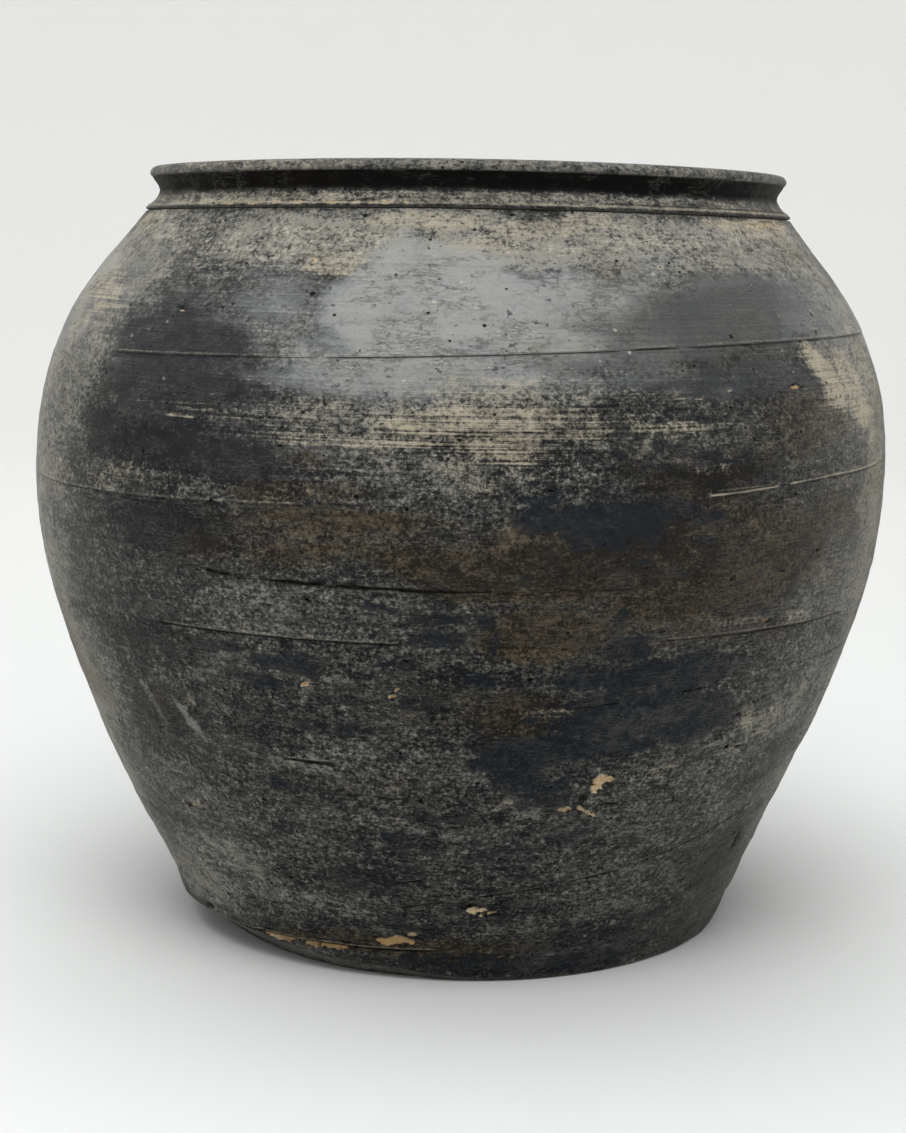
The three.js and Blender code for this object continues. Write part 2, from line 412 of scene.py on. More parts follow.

# A thin grey or olive haze. The entries at 60 degrees and beyond to either side also add painted
# reflection where the sides turn from view.
CHALK_AND_SHEEN = [
    (92, 238, 22, 22, 0.85), (97, 134, 18, 26, 0.7), (86, 58, 20, 22, 0.7), (106, 186, 16, 20, 0.6),
    (-90, 240, 20, 24, 0.8), (-98, 120, 18, 28, 0.6),
    (-26, 291, 24, 11, 0.9), (12, 292, 30, 10, 0.9), (44, 289, 24, 10, 0.9), (-56, 278, 12, 24, 0.9),
    (-62, 232, 10, 36, 0.8), (64, 268, 12, 26, 0.8), (70, 200, 10, 60, 0.9), (-66, 150, 10, 60, 0.9),
    (-1, 210, 5, 9, 0.8), (10, 206, 8, 4, 0.6), (-12, 208, 6, 4, 0.6), (-8, 222, 14, 6, 0.6),
    (-24, 162.5, 8, 3.5, 0.7), (-12, 161, 6, 3, 0.6), (-39, 107, 3.4, 5, 1.1, -3.4),
    (-46, 112, 3, 5, 0.9, -4.5), (-45, 84, 7, 7, 0.5), (-42, 45, 9, 8, 0.75), (-32, 47, 5, 4, 0.6),
    (-52, 34, 7, 9, 0.8), (45, 108, 5, 9, 0.8), (51, 106, 4, 11, 0.7), (37, 100, 4, 2.5, 0.7),
    (28, 94, 8, 4, 0.65), (12, 76, 5, 3, 0.7), (32, 88, 9, 6, 0.65), (16, 54, 4, 5, 0.5),
    (-36, 66, 3, 4, 0.6), (22, 215, 8, 5, 0.6), (20, 205, 6, 3, 0.4), (-34, 200, 12, 5, 0.55),
    (-48, 197, 6, 6, 0.6), (58, 150, 14, 8, 0.7), (-30, 155, 16, 6, 0.4), (60, 116, 9, 26, 0.7),
    (-60, 92, 8, 34, 0.8), (-10, 104, 8, 10, 0.4), (25, 80, 16, 6, 0.5), (-34.5, 42, 1.1, 5, 1.2, -0.5),
    (-60, 30, 8, 22, 0.9), (70, 70, 8, 40, 0.8), (-22, 30, 12, 4, 0.55), (-20, 94, 8, 4, 0.45),
    (0, 246, 20, 5, 0.5),
]

# A pale tan film, which some entries also use for painted light: the broad ones from 288 to 297 mm
# lighten the band in the collar's shade, and those at 64 degrees and beyond to either side add
# painted reflection where the sides turn from view.
DUST_AND_LIGHT = [
    (2, 228, 14, 7, 0.95), (-12, 220, 14, 4, 0.8), (-28, 226, 10, 3, 0.5), (14, 225, 9, 5, 0.8),
    (27, 224.6, 7, 3, 0.8), (3, 238, 9, 6, 0.75), (-12, 232, 14, 5, 0.55), (-1, 213, 2.5, 9, 0.7),
    (-36, 224.2, 3, 1.2, 0.9), (54, 237, 4, 13, 1.5, -0.8), (60, 240, 5, 12, 1.25, -0.8),
    (62, 226, 5, 9, 1.4, -0.6), (-19, 281, 5, 6, 1.1), (-61, 264, 7, 9, 1.1), (5, 288, 9, 4, 1.0),
    (4, 219, 8, 8, 0.9), (-20, 199, 6, 3, 0.4), (-45, 201, 6, 5, 0.6), (-50, 196, 5, 4, 0.6),
    (38, 150.5, 7, 2, 0.8), (49, 150, 5, 2, 0.7), (43, 110, 3, 6, 0.9), (49, 106, 3, 8, 0.7),
    (7, 83, 1.8, 6, 0.6), (6, 95, 1.8, 3, 0.5), (-27, 141, 5, 2, 0.6), (-35, 143, 4, 2, 0.5),
    (-9, 74, 3, 2, 0.7), (-44, 68, 5, 3, 0.8), (-22.5, 281.5, 2.6, 3, 0.8), (-24, 293, 1.8, 2, 0.9),
    (25, 280.5, 6, 1.1, 0.8), (38, 281, 3, 1.2, 0.7), (-38, 279, 3, 1.4, 0.7), (60, 295, 18, 5, 1.2),
    (48, 297, 12, 3.5, 1.2), (-10, 296, 14, 4, 1.05), (12, 295, 16, 5, 1.0), (64, 288, 8, 12, 0.8),
    (-68, 294, 10, 8, 1.0), (-5, 226, 8, 6, 1.0), (66, 220, 5, 14, 0.9), (12, 119, 4, 5, 0.6),
    (30, 92, 4, 4, 0.6), (-57, 255, 8, 14, 0.7), (-38, 115, 1.6, 3, 0.8), (2, 204, 3, 4, 0.6),
    (70, 250, 8, 30, 0.8), (-68, 265, 8, 25, 0.9), (-45, 40, 6, 3, 0.5), (36, 286, 14, 4, 0.55),
    (-62, 196, 6, 10, 0.7), (44, 94, 5, 4, 0.6), (73, 128, 8, 46, 0.55), (20, 236, 10, 4, 0.45),
    (34, 84, 4, 5, 0.5),
]

# Chips that bare the ochre clay under the black.
CRUST = [
    (-36, 12.4, 7, 2.0, 1.1, 0.05), (-25, 12.2, 5, 2.1, 1.15, 0.1), (-11.5, 17.6, 4.6, 2.4, 1.2, 0.25),
    (-7, 21.8, 1.8, 1.2, 1.0, 0.3), (4, 33.6, 1.8, 1.8, 1), (6.2, 32.2, 1.8, 0.9, 1, 0.5),
    (20.3, 88.4, 1.3, 3.4, 1.3, 1.2), (21.6, 90.2, 1, 1.4, 1.2), (19.2, 77.2, 1.9, 1.1, 1.3, -1.5),
    (16, 78.8, 1.2, 0.9, 1.1), (-40.3, 261.6, 0.7, 0.8, 1.3), (46, 236.6, 1, 0.5, 1.1),
    (-7.9, 125, 0.5, 1, 1.4), (-19.2, 127.8, 0.5, 0.8, 1.3), (61, 296.4, 12, 1.8, 0.7),
    (-22, 282, 1.4, 1.2, 0.7), (42, 149.4, 1, 0.5, 1), (-46, 67, 2, 1.2, 0.7),
    (-7.3, 128, 0.35, 1.8, 1.3, 1.8), (-18, 128.6, 1.6, 0.3, 1.2),
]

# Black spots and pits.
SOOT = [
    (30.4, 213.2, 1.6, 1.8, 0.9), (9.4, 212.6, 0.7, 0.8, 0.9), (10.2, 202.6, 0.7, 0.7, 0.9),
    (41.2, 97.6, 0.5, 1.1, 1.4), (43.8, 97, 0.9, 0.5, 1.2), (33.9, 77.8, 0.45, 1, 1.4),
    (58, 46, 0.9, 7, 1.1, 0.6), (-55, 15.5, 2, 1.6, 0.9), (3, 36, 1.6, 1, 1.1),
    (8, 38, 1.4, 0.8, 1, 0.5), (50, 174.2, 0.5, 0.8, 1.2), (43.2, 168.4, 0.4, 0.8, 1.2),
    (38, 176.8, 0.4, 0.7, 1.2), (-37, 14.6, 4, 1.1, 0.9), (-22, 15, 5, 1, 0.8), (22, 79.6, 2, 0.9, 0.9),
    (-4.6, 83, 0.5, 1.4, 1.1), (34.6, 167.6, 0.4, 0.8, 1.2), (22, 4, 16, 4, 0.5), (-15, 9, 6, 1.4, 0.6),
    (5, 147, 0.5, 3, 0.7), (15.8, 171, 0.4, 0.7, 1.2), (44.5, 197.4, 0.4, 0.7, 1.2),
    (18.2, 83, 1, 2.4, 0.8),
]

# Smaller lighter and darker areas, which are added to the tone. Some lighter ones are painted light:
# those at 64 to 66 degrees on either side are painted reflection where the sides turn from view,
# those from 276 to 298 mm are painted light on the top of the shoulder, and (-15, 255), (-3, 252)
# and (-22, 256) add to the painted highlight at its front.
SHADES = [
    (-45, 255, 9, 14, -0.5), (-65, 220, 7, 9, -0.6), (-65, 175, 7, 14, -0.5), (-45, 208, 8, 8, -0.9),
    (-40, 135, 9, 7, -0.5), (-55, 100, 7, 9, -0.5), (55, 175, 7, 9, -0.55), (55, 50, 8, 9, -0.5),
    (55, 17, 14, 10, -0.5), (5, 35, 6, 5, -0.45), (-35, 15, 6, 5, -0.5), (50, 5, 18, 4, -0.4),
    (-15, 255, 9, 12, 0.4), (57, 236, 8, 14, 0.6), (-41, 228, 13, 30, -0.9), (-25, 212, 9, 9, -0.6),
    (-34, 184, 12, 9, -0.7), (18, 192, 14, 10, -0.5), (66, 180, 5, 40, 0.7), (-66, 90, 5, 46, 0.7),
    (-12, 298, 30, 5, 1.0), (60, 292, 14, 9, 1.0), (-64, 294, 12, 8, 0.9), (12, 290, 12, 9, 0.8),
    (65, 150, 6, 12, 0.5), (66, 215, 5, 12, 0.7), (24, 115, 8, 12, 0.4),
    (-43, 245, 9, 9, -1.0), (-38, 276, 14, 8, 0.6), (28, 276, 16, 6, 0.8), (64, 280, 8, 16, 0.8),
    (52, 282, 8, 8, 1.1), (-16, 282, 8, 8, 0.7), (-3, 252, 14, 7, 0.5), (-22, 256, 8, 8, 0.6),
    (8, 286, 14, 6, 0.9), (-58, 126, 7, 6, 0.5), (-36, 45, 7, 6, 0.5), (-8, 90, 6, 6, 0.4),
    (54, 222, 6, 10, 0.8), (-66, 186, 6, 9, -0.6), (-24, 103, 7, 7, -0.5), (-66, 36, 6, 16, 0.8),
    (54, 28, 8, 10, -0.5), (-9, 66, 5, 6, 0.5), (-16, 24, 6, 5, 0.5), (30, 27, 9, 6, 0.4),
    (-46, 105, 9, 8, -0.3), (-18, 100, 6, 12, 0.4), (40, 296, 34, 5, 0.5), (-60, 292, 12, 9, 1.1),
    (34, 203, 8, 10, -0.5), (-46, 132, 8, 8, -0.6), (-58, 213, 5, 5, -0.6), (50, 45, 8, 8, -0.5),
    (52, 76, 5, 5, -0.5), (56, 25, 8, 8, -0.6),
]

# Swellings, above 0, and hollows, below 0, at the pot's two sides. Their strength is in millimetres.
SWELLS = [(88, 62, 34, 37, -1.45), (88, 15, 34, 10, 0.8), (-88, 26, 34, 15, -1.4)]

# Burnished areas.
POLISH = [
    (0, 264, 30, 26, 1.0), (-38, 250, 18, 28, 0.45), (-28, 216, 18, 12, 0.35), (40, 262, 22, 18, 0.85),
    (30, 240, 22, 9, 0.6), (-8, 242, 26, 8, 0.85), (15, 180, 28, 20, 0.25), (24, 112, 12, 16, 0.15),
    (-36, 182, 12, 10, 0.2), (-58, 262, 12, 22, 0.5), (62, 262, 12, 22, 0.5), (20, 8, 24, 6, 0.3),
]

# Areas with fine level combing.
COMBED = [
    (-42, 266, 22, 22, 0.55), (-40, 238, 20, 8, 0.7), (54, 232, 12, 14, 0.8), (40, 250, 26, 20, 0.4),
    (-14, 224, 20, 10, 1.0), (6, 222, 18, 12, 0.9), (-36, 225, 10, 5, 0.8), (22, 226, 14, 9, 0.6),
    (-18, 209, 16, 5, 0.7), (0, 240, 30, 5, 0.4), (-60, 264, 10, 12, 0.8), (-30, 196, 22, 6, 0.5),
    (-10, 283, 40, 10, 0.4), (30, 286, 30, 10, 0.4), (-6, 160, 26, 8, 0.4), (34, 96, 16, 14, 0.4),
    (-24, 30, 20, 8, 0.5), (48, 150, 16, 10, 0.4), (10, 60, 24, 16, 0.3),
]

# Flaking lime.
SCALE = [
    (2, 283, 18, 7, 0.55), (-22, 289, 22, 9, 1.0), (16, 291, 26, 9, 1.0), (44, 292, 20, 7, 0.95),
    (-46, 286, 12, 11, 0.85), (-2, 214, 5, 11, 0.8), (9, 210, 9, 7, 0.8), (12, 226, 14, 6, 0.6),
    (26, 222, 9, 7, 0.8), (30, 211, 6, 5, 0.85), (-62, 190, 9, 26, 0.6), (-40, 67, 9, 8, 0.45),
    (40, 84, 14, 9, 0.4), (60, 150, 8, 12, 0.5),
]


# A mark is full out to MARK_CORE of its half sizes and gone at MARK_REACH of them, and noise moves
# its edge in and out by EDGE_SWAY of them.
MARK_CORE = 0.45
MARK_REACH = 1.35
EDGE_SWAY = 0.33
WINDOW_REACH = MARK_REACH + 2 * EDGE_SWAY
EDGE_CELLS = (36, 16, 4)


def marks_field(marks, height):
    """1 inside the marks, falling off softly and unevenly round them."""
    field = np.zeros_like(height)
    sway, heave = rough_noise(height, *EDGE_CELLS, 950), rough_noise(height, *EDGE_CELLS, 960)
    for centre, level, half_width, half_height, strength, *slant in marks:
        slope = slant[0] if slant else 0
        reach = WINDOW_REACH * (half_height + abs(slope) * half_width)
        place, across = window(height, centre, WINDOW_REACH * half_width, level - reach, level + reach)
        up = (height[place] - level - slope * across) / half_height + EDGE_SWAY * heave[place]
        aside = across / half_width + EDGE_SWAY * sway[place]
        spot = strength * fade(MARK_REACH, MARK_CORE, np.hypot(aside, up))
        field[place] = np.where(np.abs(spot) > np.abs(field[place]), spot, field[place])
    return field


# ---- The side that stands at the back carries marks of the same kinds, placed by chance ----

BACK_START, BACK_END = 80, 280


def scattered_marks(seed, count, low, high, half_widths, half_heights, strengths, slant=0):
    rng = np.random.default_rng(SEED + seed)
    marks = []
    for _ in range(count):
        marks.append((
            rng.uniform(BACK_START, BACK_END),
            rng.uniform(low, high),
            rng.uniform(*half_widths),
            rng.uniform(*half_heights),
            rng.uniform(*strengths),
            rng.uniform(-slant, slant),
        ))
    return marks


INK += scattered_marks(11, 9, 80, 240, (4, 13), (4, 10), (0.7, 1))
INK += scattered_marks(12, 40, 60, 260, (0.5, 2.5), (0.8, 3.5), (0.8, 1.1))
TONE += scattered_marks(13, 26, 10, 290, (6, 20), (6, 22), (-0.9, 0.7))
UMBER += scattered_marks(14, 16, 60, 250, (9, 30), (9, 30), (0.4, 0.8), 0.3)
CHALK_AND_SHEEN += scattered_marks(15, 34, 20, 300, (3, 16), (3, 12), (0.4, 0.9))
DUST_AND_LIGHT += scattered_marks(16, 16, 190, 300, (2, 14), (1.5, 6), (0.5, 1))
DUST_AND_LIGHT += scattered_marks(17, 14, 30, 170, (1.5, 6), (1, 5), (0.4, 0.8), 0.4)
CRUST += scattered_marks(18, 7, 9, 40, (1.5, 7), (0.8, 1.8), (0.9, 1.3), 0.2)
CRUST += scattered_marks(19, 9, 60, 290, (0.5, 2.2), (0.6, 2.4), (0.9, 1.3), 0.6)
SOOT += scattered_marks(20, 22, 5, 290, (0.4, 1.4), (0.6, 2.0), (0.8, 1.1))
CHALK_AND_SHEEN += [(az, 294, 26, 7, 0.7) for az in range(90, 290, 40)]
SCALE += [(az, 291, 24, 9, 0.9) for az in range(80, 310, 38)]
POLISH += [(az, 264, 30, 24, 0.85) for az in range(95, 280, 45)]
COMBED += scattered_marks(21, 14, 60, 290, (10, 24), (5, 12), (0.4, 0.9))
TONE += [(az, 6, 26, 6, -0.8) for az in range(60, 320, 40)]


# ---- Relief and finish of the whole outside ----

# What a finish says about every point: the marks above, the painted shade in cuts and the pale on
# worn edges.
FIELD_NAMES = [
    "ink", "tone", "umber", "chalk", "dust", "crust", "soot", "cut", "line", "polish", "combed", "scale",
]

FOOT_WEAR_DEPTH = 1.3
FOOT_WEAR_HEIGHT = 1.5
CHIP_DEPTH = 0.9
PIT_DEPTH = 0.8


def foot_wear(height):
    """The foot's edge is rubbed and broken away, most of all at the left of the front."""
    worn = 0.8 + 5.5 * stretch(-95, -8, 60) + 3.5 * stretch(-115, -40, 40) + 0.8 * edge_noise(14, 3, 310)
    worn = np.maximum(worn, 0.4)
    return FOOT_WEAR_DEPTH * worn * fade(1, 0, height / (FOOT_WEAR_HEIGHT * worn))


def joins_relief(height, member):
    relief, shade, pale = (np.zeros_like(height) for _ in range(3))
    for name in JOINS:
        above = height - join_height(name)
        if name == member:
            above = np.maximum(above, 0.001)
        step, dark, rubbed = join_relief(name, above)
        relief += step
        shade = np.maximum(shade, dark)
        pale = np.maximum(pale, rubbed)
    return relief, shade, pale


def uneven_wall(height):
    """The waves that the hands left, level scraper bands, and the swellings and hollows."""
    relief = 0.35 * rough_noise(height, 9, 34, 3, 200)
    relief += 0.10 * rough_noise(height, 5, 5, 3, 220)
    relief += 0.05 * rough_noise(height, 3, 1.6, 2, 230)
    relief += 0.05 * rough_noise(height, 150, 5, 3, 240) + marks_field(SWELLS, height)
    return relief


def outside_surface(height, member):
    """How far the finished surface stands out from the smooth outline, and its finish."""
    relief = uneven_wall(height)
    steps, shade, rubbed = joins_relief(height, member)
    cuts, dark, pale = line_relief(height)
    crust, soot = marks_field(CRUST, height), marks_field(SOOT, height)
    ragged = rough_noise(height, 220, 4, 3, 260)
    chipped, pitted = fade(0.35, 0.75, crust + 0.4 * ragged), fade(0.3, 0.9, soot)
    relief += steps + cuts - CHIP_DEPTH * chipped - PIT_DEPTH * pitted - foot_wear(height)
    clouds = 0.15 * rough_noise(height, 8, 30, 3, 400)
    # The tone, chalk and dust fields carry painted highlight, painted reflection and painted light from
    # some of their marks besides the clay's own colour, and the cut field is painted shade.
    fields = {
        "ink": marks_field(INK, height),
        "tone": marks_field(TONE, height) + marks_field(SHADES, height) + clouds,
        "umber": marks_field(UMBER, height),
        "chalk": marks_field(CHALK_AND_SHEEN, height),
        "dust": marks_field(DUST_AND_LIGHT, height),
        "crust": crust,
        "soot": soot,
        "cut": np.maximum(shade, dark),
        "line": np.maximum(pale, rubbed),
        "polish": marks_field(POLISH, height),
        "combed": marks_field(COMBED, height),
        "scale": marks_field(SCALE, height),
    }
    return relief, fields


def inside_finish(height):
    """The inside is plainer: dark, wiped level and dusty here and there."""
    fields = dict.fromkeys(FIELD_NAMES, np.zeros_like(height))
    fields["ink"] = np.clip(0.3 * rough_noise(height, 12, 20, 3, 500), 0, 1)
    fields["tone"] = -0.25 + 0.4 * rough_noise(height, 10, 24, 3, 510)
    fields["umber"] = np.clip(0.5 + 0.4 * rough_noise(height, 7, 30, 2, 520), 0, 1)
    fields["chalk"] = np.clip(0.3 + 0.4 * rough_noise(height, 9, 14, 3, 530), 0, 1)
    fields["dust"] = np.clip(0.1 + 0.3 * rough_noise(height, 6, 7, 3, 540), 0, 1)
    return fields


# ---- Skins: rings of points that become one closed member ----


class Skin:
    """Rings one after another round a member's section, the finished outside first."""

    def __init__(self, radius, height, fields):
        self.radius, self.height, self.fields = [radius], [height], [fields]
        self.outer_count = len(radius)

    def extend(self, radius, height):
        radius = np.broadcast_to(radius, height.shape)
        self.radius.append(radius)
        self.height.append(height)
        self.fields.append(inside_finish(height))

    def bridge(self, end, count):
        """Rings on the straight way from the last ring to another one, which isn't added."""
        shares = np.linspace(0, 1, count + 2)[1:-1]
        start = (self.radius[-1][-1], self.height[-1][-1])
        self.extend(between(start[0], end[0], shares), between(start[1], end[1], shares))

    def first(self):
        return self.radius[0][0], self.height[0][0]

    def stacked(self):
        fields = {name: np.vstack([part[name] for part in self.fields]) for name in FIELD_NAMES}
        return np.vstack(self.radius), np.vstack(self.height), fields


def between(start, end, shares):
    """Rings at these shares of the way from one ring to another."""
    shares = np.asarray(shares)[:, None]
    return start * (1 - shares) + end * shares


EVEN_SHARE = 0.45


def spaced(count):
    """From 0 to 1 in count steps, closer together at both ends."""
    even = np.linspace(0, 1, count + 1)
    return EVEN_SHARE * even + (1 - EVEN_SHARE) * (0.5 - 0.5 * np.cos(math.pi * even))


def course_skin(member, above_member):
    """One wall course: up the outside, in over the join, down the inside and out again."""
    low, high = join_height(member), join_height(above_member)
    height = between(low, high, spaced(int((high - low).mean() / ROW_PITCH)))
    relief, fields = outside_surface(height, member)
    skin = Skin(outer_radius(height) + relief, height, fields)
    inner_low = np.full(COLUMNS, FLOOR_HEIGHT) if member == "foot_course" else low + JOIN_CLIMB
    inner_high = high if above_member == "neck_collar" else high + JOIN_CLIMB
    inner_count = int((inner_high - inner_low).mean() / INNER_ROW_PITCH)
    inner_height = between(inner_high, inner_low, np.linspace(0, 1, inner_count + 1))
    inner = inner_radius(inner_height) + 0.5 * rough_noise(inner_height, 6, 9, 3, 600)
    skin.bridge((inner[0], inner_height[0]), JOIN_ROWS)
    skin.extend(inner, inner_height)
    skin.bridge(skin.first(), JOIN_ROWS)
    return skin


# ---- The collar and the lip, which have outlines of their own ----


def smooth_path(points, pitch):
    """A smooth curve through a few points of radius and height."""
    points = np.array(points, float)
    before, after = 2 * points[0] - points[1], 2 * points[-1] - points[-2]
    padded = np.vstack([before, points, after])
    path = []
    for a, b, c, d in zip(padded, padded[1:], padded[2:], padded[3:]):
        steps = max(2, int(np.linalg.norm(c - b) / pitch))
        for t in np.arange(steps) / steps:
            bend = (2 * a - 5 * b + 4 * c - d) * t**2 + (3 * b - a - 3 * c + d) * t**3
            path.append(0.5 * (2 * b + (c - a) * t + bend))
    return np.array([*path, points[-1]])


# Points as distances from the lip's radius and from a height.
COLLAR_FROM_GROOVE = [
    (-1.4, 0), (0.1, 0.5), (0.8, 1.0), (0.6, 1.5), (0.2, 2.0), (0.2, 2.4), (-1.0, 3.3), (-2.5, 5.6),
    (-3.6, 8.1), (-3.0, 10.4), (-1.6, 12.5), (-0.8, COLLAR_HEIGHT),
]
LIP_FROM_BOTTOM = [(-0.8, 0), (-0.25, 0.3), (0.05, 1.0), (0.1, 1.7)]
LIP_FROM_TOP = [
    (-0.2, -1.7), (-1.1, -0.7), (-2.8, -0.15), (-5.3, 0), (-8.3, -0.4), (-10.4, -1.8),
    (-LIP_WIDTH, -MOUTH_DROP),
]
COLLAR_PITCH = 0.35
LIP_PITCH = 0.45


def placed(points, height):
    """Points of radius and height, from their distances to the lip's radius and to a height."""
    return [(LIP_RADIUS + outward, height + upward) for outward, upward in points]


def collar_outline():
    """From the bottom of the groove, over its ridge and bead, in to the throat and out to the lip."""
    return smooth_path(placed(COLLAR_FROM_GROOVE, GROOVE_HEIGHT), COLLAR_PITCH)


def lip_outline():
    """From the collar, round the outside of the roll, over the top and down into the mouth."""
    return smooth_path(placed(LIP_FROM_BOTTOM, LIP_BOTTOM) + placed(LIP_FROM_TOP, POT_HEIGHT), LIP_PITCH)


def collar_finish(height):
    """The collar's hollow is dark with soot and with painted shade under the lip. The bead and the lip
    are rubbed pale, the upturned flare is mottled pale and lightened further as painted light, and the
    dark in the groove is painted shade.
    """
    above = height - GROOVE_HEIGHT
    ragged = rough_noise(height, 140, 5, 3, 700)
    broad = edge_noise(9, 3, 710)
    # The hollow under the lip: its darkening is partly soot and partly painted shade.
    throat = fade(6.2, 8.6, above + 0.7 * ragged) * fade(14.4, 13.6, above)
    # The dark in the groove and in the second line above it is painted shade.
    second_line = 0.7 * stretch(22, 75, 8) * np.exp(-(((above - 2.9) / 0.4) ** 2))
    groove = np.maximum(fade(1.0, 0.3, above), second_line)
    bead = np.exp(-(((above - 2.1) / 0.6) ** 2))
    bare = stretch(-46, -38, 4) + stretch(-30, -8, 10) + stretch(50, 62, 10) + fade(0.3, 0.8, broad)
    lip = fade(13.8, 14.4, above)
    flare = fade(1.2, 2.0, above) * fade(7.5, 5.5, above)
    return {
        "ink": 0.45 * np.clip(ragged, 0, 1) * flare,
        # The tone is lifted on the upturned flare as painted light, and dropped in the throat as painted
        # shade with soot.
        "tone": 0.8 * lip + 0.25 * broad - 1.6 * throat + 0.5 * flare,
        "umber": np.clip(0.5 + 0.5 * broad, 0, 1) * throat,
        "chalk": 0.85 * flare + 0.7 * lip,
        "dust": np.clip(0.65 + 0.35 * broad, 0, 1) * flare + 0.4 * lip * (0.7 + broad),
        "crust": np.clip(bare, 0, 1) * bead * 0.8,
        "soot": 0.5 * throat * np.clip(ragged, 0, 1),
        "cut": np.maximum(np.clip(groove, 0, 1), 0.68 * throat),
        "line": 0.75 * bead + 0.25 * lip,
        "polish": 0.3 * throat,
        "combed": 0.6 * flare,
        "scale": 0.9 * flare,
    }


def turned_skin(outline):
    """The outline turned about the axis, a little out of round and not quite level."""
    level = np.repeat(outline[:, 1:], COLUMNS, axis=1)
    relief = 0.25 * rough_noise(level, 9, 34, 3, 200) + 0.07 * rough_noise(level, 120, 3, 3, 240)
    relief += 1.6 * side_share() * fade(6, 0, level - GROOVE_HEIGHT)
    sag = 0.25 * edge_noise(5, 2, 730) - RIM_SAG * side_share()
    return Skin(outline[:, :1] + relief, level + sag, collar_finish(level))


THROAT_RINGS = 8


def collar_skin():
    skin = turned_skin(collar_outline())
    bottom = join_height("neck_collar")
    inner_top = (np.full(COLUMNS, MOUTH_RADIUS), bottom + POT_HEIGHT - MOUTH_DROP - GROOVE_HEIGHT)
    skin.bridge(inner_top, JOIN_ROWS)
    throat = inner_radius(bottom - 0.5)
    shares = np.linspace(0, 1, THROAT_RINGS)
    skin.extend(between(inner_top[0], throat, shares), between(inner_top[1], bottom, shares))
    skin.bridge(skin.first(), JOIN_ROWS)
    return skin


def lip_skin():
    skin = turned_skin(lip_outline())
    skin.bridge(skin.first(), 2 * JOIN_ROWS)
    return skin


# ---- The slab under the pot ----

SLAB_RINGS = np.linspace(0, 0.97, 40)


def slab_skin():
    """The slab: up its worn edge, in over the floor, then the underside from the middle out."""
    top = join_height("foot_course")
    height = between(np.full(COLUMNS, 0.15), top, np.linspace(0, 1, int(FOOT_TOP / ROW_PITCH)))
    relief, fields = outside_surface(height, "base_slab")
    skin = Skin(outer_radius(height) + relief, height, fields)
    edge = inner_radius(np.full(COLUMNS, FLOOR_HEIGHT + 1.5))
    skin.bridge((edge, np.full(COLUMNS, FLOOR_HEIGHT)), JOIN_ROWS)
    reach = np.repeat(SLAB_RINGS[::-1, None], COLUMNS, axis=1)
    skin.extend(edge * reach, FLOOR_HEIGHT + 0.4 * rough_noise(reach * 90, 8, 14, 3, 810) * reach)
    reach = reach[::-1]
    dish = np.maximum(0.15 * rough_noise(reach * 90, 12, 20, 3, 800), 0) * fade(1.0, 0.9, reach)
    skin.extend(skin.radius[0][0] * reach, dish)
    return skin


def weld_axis(mesh):
    """The slab's rings of no size become single points in the middle of its two faces."""
    grid = bmesh.new()
    grid.from_mesh(mesh)
    on_axis = [vertex for vertex in grid.verts if vertex.co.xy.length < 1e-7]
    bmesh.ops.remove_doubles(grid, verts=on_axis, dist=1e-6)
    loose = [edge for edge in grid.edges if not edge.link_faces]
    bmesh.ops.delete(grid, geom=loose, context="EDGES")
    grid.to_mesh(mesh)
    grid.free()


# ---- Meshes ----


def grid_faces(row_count):
    """Quads between neighbouring rings, facing out, with the row and column of each one."""
    row, column = np.meshgrid(np.arange(row_count), np.arange(COLUMNS), indexing="ij")
    row, column = row.ravel(), column.ravel()
    above, beside = (row + 1) % row_count, (column + 1) % COLUMNS
    corners = [(row, column), (row, beside), (above, beside), (above, column)]
    return np.stack([r * COLUMNS + c for r, c in corners], axis=-1), row, column


def make_mesh(name, skin):
    """A closed mesh of the skin, with its finish as attributes and an unrolled UV map."""
    radius, height, fields = skin.stacked()
    turn = np.radians(azimuths)
    across = radius * np.sin(turn) + top_shift(height)
    points = np.stack([across, -radius * np.cos(turn), height], axis=-1) * MM
    faces, row, column = grid_faces(len(radius))
    mesh = bpy.data.meshes.new(name)
    mesh.vertices.add(points.size // 3)
    mesh.vertices.foreach_set("co", points.ravel())
    mesh.loops.add(faces.size)
    mesh.loops.foreach_set("vertex_index", faces.ravel())
    mesh.polygons.add(len(faces))
    mesh.polygons.foreach_set("loop_start", np.arange(0, faces.size, 4))
    mesh.polygons.foreach_set("use_smooth", np.ones(len(faces), bool))
    mesh.update(calc_edges=True)
    for field, values in fields.items():
        attribute = mesh.attributes.new(field, "FLOAT", "POINT")
        attribute.data.foreach_set("value", values.astype(np.float32).ravel())
    sharpen_edges(mesh, skin.outer_count)
    unroll(mesh, radius, height, row, column, skin.outer_count)
    return mesh


def sharpen_edges(mesh, outer_count):
    """The outside is shaded apart from the join faces, so that no false line shows at a join."""
    ends = np.zeros(len(mesh.edges) * 2, int)
    mesh.edges.foreach_get("vertices", ends)
    rings = ends.reshape(-1, 2) // COLUMNS
    border = (rings[:, 0] == 0) | (rings[:, 0] == outer_count - 1)
    attribute = mesh.attributes.new("sharp_edge", "BOOLEAN", "EDGE")
    attribute.data.foreach_set("value", border & (rings[:, 0] == rings[:, 1]))


UV_MARGIN = 0.004
UV_OUTSIDE_SHARE = 0.75
UV_INSIDE_SCALE = 0.3
UV_INSIDE_ARCS = 2


def section_lengths(radius, height):
    """The length round a member's section from its first ring to every ring and back to the first."""
    mean_radius, mean_height = radius.mean(axis=1), height.mean(axis=1)
    outward = np.diff(mean_radius, append=mean_radius[0])
    upward = np.diff(mean_height, append=mean_height[0])
    return np.concatenate([[0], np.cumsum(np.hypot(outward, upward))])


